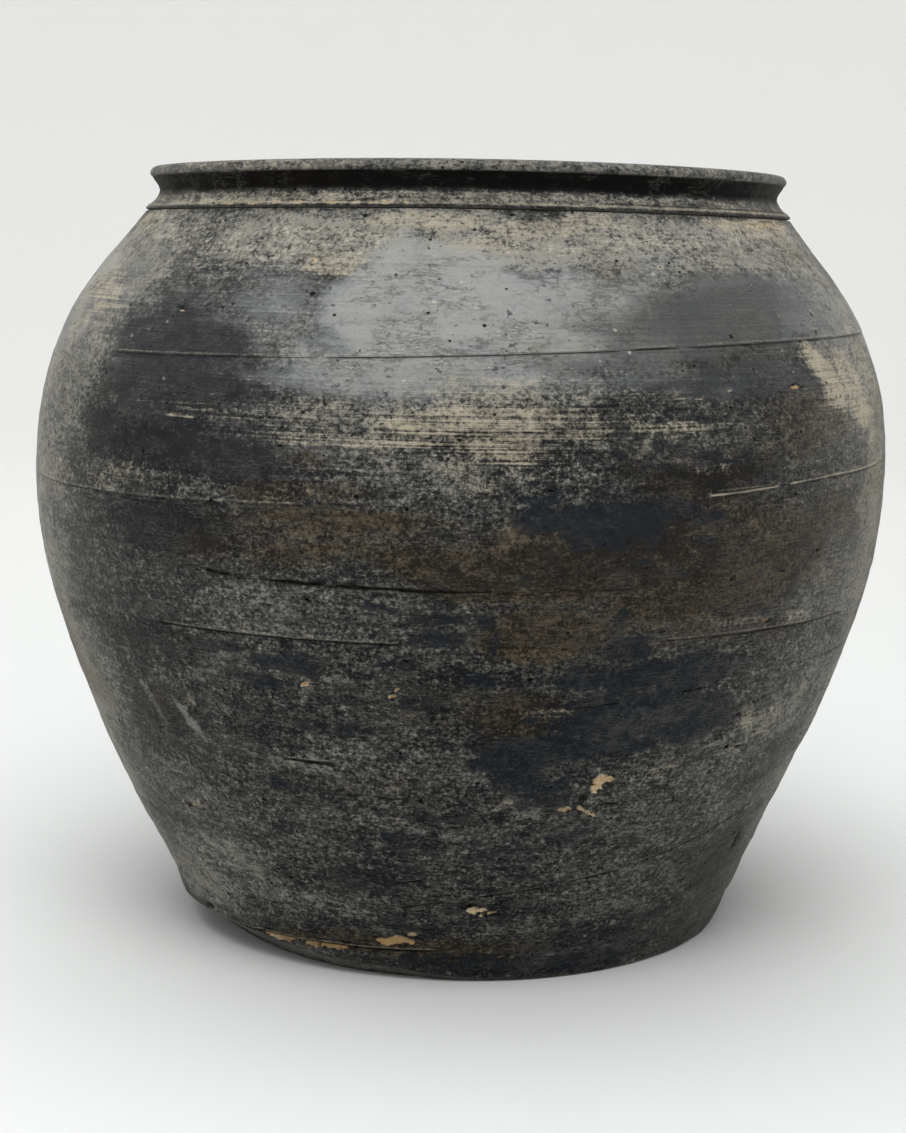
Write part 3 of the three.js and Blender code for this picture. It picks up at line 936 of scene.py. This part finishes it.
def unroll(mesh, radius, height, row, column, outer_count):
    """The outside is cut into arcs laid one over the other, and so is the rest, more coarsely."""
    reach = section_lengths(radius, height)
    turn_length = 2 * math.pi * radius.mean(axis=1).max()
    outer_arcs = round(math.sqrt(UV_OUTSIDE_SHARE * turn_length / reach[outer_count - 1]))
    outer_arcs = max(2, outer_arcs)
    bands = [
        (0, outer_count - 1, outer_arcs, 1.0),
        (outer_count - 1, len(radius), UV_INSIDE_ARCS, UV_INSIDE_SCALE),
    ]
    uv = np.zeros((len(row), 4, 2))
    base = UV_MARGIN
    for start, end, arcs, scale in bands:
        strip = scale * (reach[end] - reach[start]) * outer_arcs / turn_length
        here = (row >= start) & (row < end)
        along = reach[row[here]], reach[row[here] + 1]
        per_arc = COLUMNS / arcs
        arc = np.floor(column[here] / per_arc)
        left = (column[here] - arc * per_arc) / per_arc
        right = left + 1 / per_arc
        bottom, top = (
            base + arc * (strip + UV_MARGIN) + (edge - reach[start]) / (reach[end] - reach[start]) * strip
            for edge in along
        )
        corners = [(left, bottom), (right, bottom), (right, top), (left, top)]
        uv[here] = np.stack([np.stack(corner, -1) for corner in corners], axis=1)
        base += arcs * (strip + UV_MARGIN)
    uv[..., 1] /= base
    uv[..., 0] = UV_MARGIN + uv[..., 0] * (1 - 2 * UV_MARGIN)
    layer = mesh.uv_layers.new(name="OFBake")
    layer.data.foreach_set("uv", uv.astype(np.float32).ravel())


# ---- Materials ----


class Graph:
    """A material's nodes, made by short calls."""

    def __init__(self, name):
        self.material = bpy.data.materials.new(name)
        self.material.use_nodes = True
        self.tree = self.material.node_tree
        self.tree.nodes.clear()

    def set(self, socket, value):
        if isinstance(value, bpy.types.NodeSocket):
            self.tree.links.new(value, socket)
        elif isinstance(value, tuple) and len(socket.default_value) == 4:
            socket.default_value = (*value, 1)
        else:
            socket.default_value = value

    def node(self, kind, inputs=(), **settings):
        node = self.tree.nodes.new(kind)
        for key, value in settings.items():
            setattr(node, key, value)
        for key, value in dict(inputs).items():
            self.set(node.inputs[key], value)
        return node

    def math(self, operation, *values, clamp=False):
        node = self.node("ShaderNodeMath", operation=operation, use_clamp=clamp)
        for socket, value in zip(node.inputs, values):
            self.set(socket, value)
        return node.outputs[0]

    def total(self, *terms):
        """The sum of (value, weight) pairs."""
        result = 0.0
        for value, weight in terms:
            result = self.math("MULTIPLY_ADD", value, weight, result)
        return result

    def ramp(self, value, low, high):
        """0 at low and 1 at high, smoothly."""
        inputs = {"Value": value, "From Min": low, "From Max": high}
        return self.node("ShaderNodeMapRange", inputs, interpolation_type="SMOOTHSTEP").outputs[0]

    def cover(self, field, noise, weight, low, high):
        """From 0 to 1 where a field, broken up by noise, rises from low to high."""
        return self.ramp(self.total((field, 1.0), (noise, weight)), low, high)

    def colour(self, share, a, b):
        return self.node("ShaderNodeMix", {0: share, 6: a, 7: b}, data_type="RGBA").outputs[2]

    def layer(self, colour, coat, share, strength):
        """A coat of another colour over part of the surface."""
        return self.colour(self.math("MULTIPLY", share, strength), colour, coat)

    def contour(self, noise, width):
        """1 on the thin, wandering lines where the noise is 0."""
        return self.ramp(self.math("ABSOLUTE", noise), width, 0.0)

    def field(self, name):
        return self.node("ShaderNodeAttribute", attribute_name=name).outputs["Fac"]

    def place(self, across, up, shift, twist=0.0):
        """The place on the pot, measured in cells so many millimetres across and up."""
        place = self.node("ShaderNodeTexCoord").outputs["Object"]
        if twist:
            level = self.node("ShaderNodeSeparateXYZ", {0: place}).outputs[2]
            angle = self.math("MULTIPLY", level, twist / MM)
            turned = {"Vector": place, "Angle": angle}
            place = self.node("ShaderNodeVectorRotate", turned, rotation_type="Z_AXIS").outputs[0]
        scale = (1 / (across * MM), 1 / (across * MM), 1 / (up * MM))
        mapped = self.node("ShaderNodeVectorMath", {0: place, 1: scale}, operation="MULTIPLY").outputs[0]
        offset = (shift, 0.7 * shift, 1.3 * shift)
        return self.node("ShaderNodeVectorMath", {0: mapped, 1: offset}).outputs[0]

    def noise(self, across, up, detail, roughness, shift, twist=0.0):
        """Noise round 0 that mostly stays within 1."""
        inputs = {"Vector": self.place(across, up, shift, twist), "Scale": 1.0}
        inputs.update({"Detail": detail, "Roughness": roughness})
        noise = self.node("ShaderNodeTexNoise", inputs).outputs["Fac"]
        return self.math("MULTIPLY_ADD", noise, 5.0, -2.5)

    def dots(self, spacing, radius, shift):
        """1 inside scattered dots of mixed sizes, 0 outside them."""
        inputs = {"Vector": self.place(spacing, 0.8 * spacing, shift), "Scale": 1.0}
        cells = self.node("ShaderNodeTexVoronoi", inputs)
        chance = self.node("ShaderNodeSeparateColor", {0: cells.outputs["Color"]}).outputs[0]
        size = self.math("MULTIPLY", self.math("POWER", chance, 5.0), radius)
        return self.ramp(self.math("SUBTRACT", size, cells.outputs["Distance"]), 0.0, 0.03)


COAL = (0.0066, 0.0070, 0.0079)
CHARCOAL = (0.034, 0.034, 0.032)
GREY = (0.085, 0.083, 0.076)
ASH = (0.236, 0.226, 0.199)
TAN = (0.40, 0.355, 0.27)
OLIVE = (0.210, 0.180, 0.125)
DARK_BROWN = (0.0120, 0.0090, 0.0060)
BROWN = (0.076, 0.058, 0.034)
OCHRE = (0.40, 0.25, 0.11)
CREAM = (0.58, 0.48, 0.34)
BLUE_BLACK = (0.0060, 0.0088, 0.0135)
BLACK = (0.0030, 0.0028, 0.0027)
LIME = (0.45, 0.42, 0.35)
COOL_TINT = (0.84, 0.98, 1.16)
SHEEN_TINT = (1.0, 0.96, 0.87)
BUMP_DEPTH = 0.6


def clay_noises(graph):
    """The noises that break up every coat."""
    upright = graph.noise(2.4, 26, 5, 0.6, 2)
    slant = graph.noise(2.2, 24, 5, 0.6, 9, twist=0.02)
    patches = graph.ramp(graph.noise(20, 12, 4, 0.6, 71), -0.3, 0.5)
    crackle = graph.contour(graph.noise(9, 3.6, 6, 0.68, 51), 0.10)
    scores = graph.contour(graph.noise(18, 1.3, 4, 0.6, 61, twist=0.003), 0.10)
    return SimpleNamespace(
        cloud=graph.noise(34, 20, 3, 0.5, 0),
        mottle=graph.noise(6.5, 4.4, 8, 0.78, 11),
        flow=graph.noise(22, 2.0, 6, 0.65, 3),
        comb=graph.noise(70, 0.8, 4, 0.6, 7),
        grain=graph.noise(1.7, 1.4, 5, 0.88, 5),
        flake=graph.noise(4.6, 3.4, 3, 0.6, 41),
        strokes=graph.total((upright, 0.5), (slant, 0.5)),
        cracked=graph.math("MULTIPLY", crackle, patches),
        scored=graph.math("MULTIPLY", scores, patches),
    )


def clay_level(graph, field, noise, polish, lightness, grit, brushed):
    """How light the fired clay is, from about -1 for soot to 1 for ash."""
    open_grain = graph.total((polish, -0.80), (1.0, 1.0))
    texture = graph.total(
        (noise.mottle, 0.66 * grit), (noise.flow, 0.20 * grit), (noise.grain, 1.35 * grit),
        (noise.cracked, -1.00), (noise.scored, 0.85),
    )
    return graph.total(
        (field.tone, 0.50), (noise.cloud, 0.14), (graph.math("MULTIPLY", texture, open_grain), 1.0),
        (noise.strokes, 0.30 * brushed), (noise.comb, 0.06), (noise.raked, 0.40), (1.0, lightness),
    )


def fired_colour(graph, level, warmth, polish):
    """Soot, charcoal, grey and ash by level, browner where it is warm and cooler where it shines."""
    shade = graph.colour(graph.ramp(level, -0.55, 0.05), COAL, CHARCOAL)
    shade = graph.colour(graph.ramp(level, 0.0, 0.55), shade, GREY)
    shade = graph.colour(graph.ramp(level, 0.5, 1.2), shade, ASH)
    earth = graph.colour(graph.ramp(level, -0.5, 0.6), DARK_BROWN, BROWN)
    colour = graph.layer(shade, earth, warmth, 0.85)
    cooled = {0: graph.math("MULTIPLY", polish, graph.ramp(level, 2.4, -0.4)), 6: colour, 7: COOL_TINT}
    return graph.node("ShaderNodeMix", cooled, data_type="RGBA", blend_type="MULTIPLY").outputs[2]


def clay_masks(graph, field, noise, polish):
    """How much of each coat lies on the clay, where it is chipped, scratched or pitted, and where
    painted shade darkens its cuts.
    """
    grain, mottle, flow = noise.grain, noise.mottle, noise.flow
    streaked = graph.total(
        (noise.comb, 0.12), (noise.raked, 0.50), (flow, 0.16), (grain, 0.55), (mottle, 0.42),
    )
    flaking = graph.total((grain, 0.90), (mottle, 0.50), (flow, 0.30), (noise.flake, 0.40))
    peeling = graph.total((noise.flake, 0.70), (mottle, 0.35), (grain, 0.38))
    crusty = graph.ramp(field.crust, 0.10, 0.35)
    broken = graph.cover(field.crust, peeling, 1.0, 0.64, 0.78)
    holes = graph.math("MAXIMUM", graph.dots(9, 0.15, 1), graph.dots(4, 0.22, 31))
    spots = graph.ramp(graph.total((field.soot, 1.0), (grain, 0.40), (mottle, 0.40)), 0.60, 0.80)
    # Painted shade: the black laid in cuts, open joins, the collar's groove and its throat.
    cut = graph.cover(field.cut, grain, 0.15, 0.15, 0.90)
    return SimpleNamespace(
        # The haze and dust coats also lay painted reflection on the sides and painted light on the top of
        # the shoulder.
        haze=graph.cover(field.chalk, noise.film, 0.9, 0.40, 1.40),
        dusty=graph.cover(field.dust, streaked, 1.0, 0.45, 1.55),
        scale=graph.cover(field.scale, flaking, 1.0, 0.95, 1.65),
        gaps=graph.cover(field.scale, flaking, -1.0, 1.20, 1.55),
        coat=graph.cover(field.ink, peeling, 1.0, 0.62, 0.69),
        bare=graph.math("MULTIPLY", broken, crusty),
        scratch=graph.cover(field.line, grain, 0.25, 0.35, 0.95),
        specks=graph.math("MULTIPLY", graph.dots(5, 0.22, 21), polish),
        black=graph.math("MAXIMUM", graph.math("MAXIMUM", spots, holes), cut),
    )


def coated_colour(graph, colour, field, noise, warmth, mask):
    """The fired colour under haze, dust, lime and the dark coat, then the chips, scratches and pits.
    The haze and dust hold painted light in places, and the black in cuts is painted shade.
    """
    paste = graph.total((noise.mottle, 0.5), (noise.grain, 0.7), (field.umber, -0.7))
    body = graph.colour(graph.ramp(paste, -0.5, 0.5), OCHRE, CREAM)
    layers = [
        (graph.colour(warmth, ASH, OLIVE), mask.haze, 0.85),
        (TAN, mask.dusty, 0.9),
        (LIME, mask.scale, 0.85),
        (BLUE_BLACK, mask.gaps, 0.70),
        (BLUE_BLACK, mask.coat, 0.82),
        (body, mask.bare, 0.9),
        (TAN, mask.scratch, 0.7),
        (LIME, mask.specks, 0.7),
        (BLACK, mask.black, 0.92),
    ]
    for coat, share, strength in layers:
        colour = graph.layer(colour, coat, share, strength)
    return colour


def clay_gloss(graph, noise, polish, mask, gloss, sheen):
    """Roughness and reflectance: dust and bare clay are dull, and the burnish shines."""
    hazy = graph.math("MULTIPLY", mask.haze, 0.6)
    pale = graph.math("MAXIMUM", graph.math("MAXIMUM", mask.dusty, mask.bare), hazy)
    roughness = graph.total(
        (1.0, gloss), (polish, -0.10), (noise.film, 0.08), (pale, 0.30), (mask.coat, -0.05),
        (mask.black, 0.25),
    )
    roughness = graph.math("MINIMUM", graph.math("MAXIMUM", roughness, 0.2), 1.0)
    reflecting = graph.total((1.0, sheen), (polish, 0.42))
    dulled = graph.total((1.0, 1.0), (pale, -0.5), (mask.black, -0.8))
    return roughness, graph.math("MULTIPLY", reflecting, graph.math("MAXIMUM", dulled, 0.0))


def clay_bump(graph, noise, mask, brushed):
    """The fine relief: grain, combing and strokes, with cracks and pits sunk and lime standing out."""
    height = graph.total(
        (noise.grain, 0.10), (noise.mottle, 0.12), (noise.flow, 0.10), (noise.comb, 0.05),
        (noise.raked, 0.20), (noise.strokes, 0.22 * brushed), (noise.cracked, -0.35), (noise.scored, 0.20),
        (mask.coat, 0.08), (mask.dusty, 0.08), (mask.scale, 0.15), (mask.bare, -0.25), (mask.black, -0.6),
    )
    settings = {"Height": height, "Strength": 1.0, "Distance": BUMP_DEPTH * MM}
    return graph.node("ShaderNodeBump", settings).outputs[0]


def clay(name, lightness, grit, gloss, sheen, brushed):
    """Reduction-fired clay: sooty black, with grey, brown and tan wear, and a burnished sheen."""
    graph = Graph(name)
    field = SimpleNamespace(**{key: graph.field(key) for key in FIELD_NAMES})
    noise = clay_noises(graph)
    noise.raked = graph.math("MULTIPLY", noise.comb, field.combed)
    noise.film = graph.total((noise.flow, 0.18), (noise.grain, 0.60), (noise.mottle, 0.50))
    polish = graph.cover(field.polish, noise.mottle, 0.12, 0.1, 0.9)
    brown = graph.total((field.umber, 1.0), (noise.mottle, 0.25), (noise.cloud, 0.15))
    warmth = graph.ramp(brown, 0.1, 0.9)
    level = clay_level(graph, field, noise, polish, lightness, grit, brushed)
    mask = clay_masks(graph, field, noise, polish)
    colour = fired_colour(graph, level, warmth, polish)
    roughness, reflectance = clay_gloss(graph, noise, polish, mask, gloss, sheen)
    shader = graph.node("ShaderNodeBsdfPrincipled", {
        "Base Color": coated_colour(graph, colour, field, noise, warmth, mask),
        "Roughness": roughness,
        "Specular IOR Level": reflectance,
        "Sheen Weight": 0.25,
        "Sheen Tint": SHEEN_TINT,
        "Sheen Roughness": 0.22,
        "Normal": clay_bump(graph, noise, mask, brushed),
    })
    graph.node("ShaderNodeOutputMaterial", {0: shader.outputs[0]})
    return graph.material


# Lightness, grittiness, roughness, reflectance and how far upright brush strokes show.
FINISHES = {
    "sooty_foot_clay": (-0.02, 1.25, 0.58, 0.06, 0.6),
    "scraped_clay": (0.0, 1.15, 0.56, 0.06, 0.7),
    "smoked_clay": (0.0, 1.1, 0.50, 0.09, 0.15),
    "burnished_clay": (0.02, 1.0, 0.49, 0.09, 0.1),
    "collar_clay": (0.0, 0.9, 0.55, 0.06, 0.2),
}
made_materials = {}


def material_of(node):
    """The finish that the record gives the CAD member."""
    slots = {part["node"]: part["material_slot"] for part in frame["record"]["subparts"]}
    slot = slots[node]
    if slot not in made_materials:
        made_materials[slot] = clay(slot.replace("_", " "), *FINISHES[slot])
    return slot, made_materials[slot]


# ---- The members ----


def place_member(node, skin):
    slot, material = material_of(node)
    piece = bpy.data.objects.new(f"{node}_clay", make_mesh(f"{node}_clay", skin))
    bpy.context.scene.collection.objects.link(piece)
    piece.data.materials.append(material)
    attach(piece, "root")
    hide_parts(node)
    return piece


def build_pot():
    slab = place_member("base_slab", slab_skin())
    weld_axis(slab.data)
    for member, above in zip(COURSES, [*COURSES[1:], "neck_collar"]):
        place_member(member, course_skin(member, above))
    place_member("neck_collar", collar_skin())
    place_member("rim_lip", lip_skin())


# ---- The studio ----

STAGE_RADIUS = 3.2
STAGE_CURVE = 1.2
STAGE_HEIGHT = 2.6
STAGE_SIDES = 96
STAGE_CURVE_STEPS = 12
# The floor runs from FLOOR_NEAR round the pot to FLOOR_FAR far off: painted shade near the pot and painted
# light on the far floor and wall.
FLOOR_NEAR = (0.665, 0.675, 0.67)
FLOOR_FAR = (0.80, 0.80, 0.79)


def stage_material():
    graph = Graph("pale floor")
    place = graph.node("ShaderNodeTexCoord").outputs["Object"]
    away = graph.node("ShaderNodeVectorMath", {0: place}, operation="LENGTH").outputs["Value"]
    # Painted shade round the pot, brightening to painted light far from it.
    painted_falloff = graph.colour(graph.ramp(away, 0.2, 2.2), FLOOR_NEAR, FLOOR_FAR)
    inputs = {"Base Color": painted_falloff, "Roughness": 0.7, "Specular IOR Level": 0.2}
    shader = graph.node("ShaderNodeBsdfPrincipled", inputs)
    graph.node("ShaderNodeOutputMaterial", {0: shader.outputs[0]})
    return graph.material


def stage_section():
    """Radius and height along the floor, up its curved edge and up the wall."""
    flat = STAGE_RADIUS - STAGE_CURVE
    section = [(flat, 0.0)]
    for step in range(1, STAGE_CURVE_STEPS + 1):
        turn = math.pi / 2 * step / STAGE_CURVE_STEPS
        section.append((flat + STAGE_CURVE * math.sin(turn), STAGE_CURVE * (1 - math.cos(turn))))
    section.append((STAGE_RADIUS, STAGE_HEIGHT))
    return section


def build_stage():
    """A pale floor that curves up into a wall all round, so that no edge shows behind the pot."""
    section, sides = stage_section(), STAGE_SIDES
    points = [(0, 0, 0)]
    for radius, height in section:
        for side in range(sides):
            turn = 2 * math.pi * side / sides
            points.append((radius * math.cos(turn), radius * math.sin(turn), height))
    faces = [(0, 1 + side, 1 + (side + 1) % sides) for side in range(sides)]
    for ring in range(len(section) - 1):
        for side in range(sides):
            a, b = 1 + ring * sides + side, 1 + ring * sides + (side + 1) % sides
            faces.append((a, a + sides, b + sides, b))
    mesh = bpy.data.meshes.new("studio_floor")
    mesh.from_pydata(points, [], faces)
    mesh.polygons.foreach_set("use_smooth", [True] * len(mesh.polygons))
    mesh.materials.append(stage_material())
    floor = bpy.data.objects.new("studio_floor", mesh)
    bpy.context.scene.collection.objects.link(floor)


LIGHT_TARGET = (0, 0, 0.2)
WORLD_COLOUR = (0.97, 0.98, 0.97, 1)
WORLD_STRENGTH = 0.72


def area_light(name, place, size, power):
    data = bpy.data.lights.new(name, "AREA")
    data.shape = "RECTANGLE"
    data.size, data.size_y = size
    data.energy = power
    light = bpy.data.objects.new(name, data)
    bpy.context.scene.collection.objects.link(light)
    light.location = place
    light.rotation_mode = "QUATERNION"
    light.rotation_quaternion = (Vector(LIGHT_TARGET) - Vector(place)).to_track_quat("-Z", "Y")


def build_lights():
    area_light("overhead", (-0.02, -1.1, 1.7), (1.2, 1.0), 21)
    area_light("room", (-0.4, 0.5, 2.5), (2.6, 2.6), 36)
    world = bpy.data.worlds.new("studio")
    bpy.context.scene.world = world
    world.use_nodes = True
    background = world.node_tree.nodes["Background"]
    background.inputs["Color"].default_value = WORLD_COLOUR
    background.inputs["Strength"].default_value = WORLD_STRENGTH


# Metres, degrees and, for the lens and the sensor, millimetres.
CAMERA_DISTANCE = 0.9665
CAMERA_HEIGHT = 0.2966
CAMERA_PITCH = 8.75
CAMERA_ROLL = 0.97
CAMERA_YAW = 0.13
CAMERA_LENS = 71.5
SENSOR_WIDTH = 36


def build_camera():
    camera_data = bpy.data.cameras.new("camera")
    camera_data.lens = CAMERA_LENS
    camera_data.sensor_width = SENSOR_WIDTH
    camera = bpy.data.objects.new("camera", camera_data)
    bpy.context.scene.collection.objects.link(camera)
    yaw = Matrix.Rotation(math.radians(CAMERA_YAW), 4, "Z")
    pitch = Matrix.Rotation(math.radians(90 - CAMERA_PITCH), 4, "X")
    roll = Matrix.Rotation(math.radians(CAMERA_ROLL), 4, "Z")
    camera.matrix_world = Matrix.Translation((0, -CAMERA_DISTANCE, CAMERA_HEIGHT)) @ yaw @ pitch @ roll
    bpy.context.scene.camera = camera


build_camera()
build_stage()
build_lights()
build_pot()
bpy.context.scene.view_settings.view_transform = "Standard"
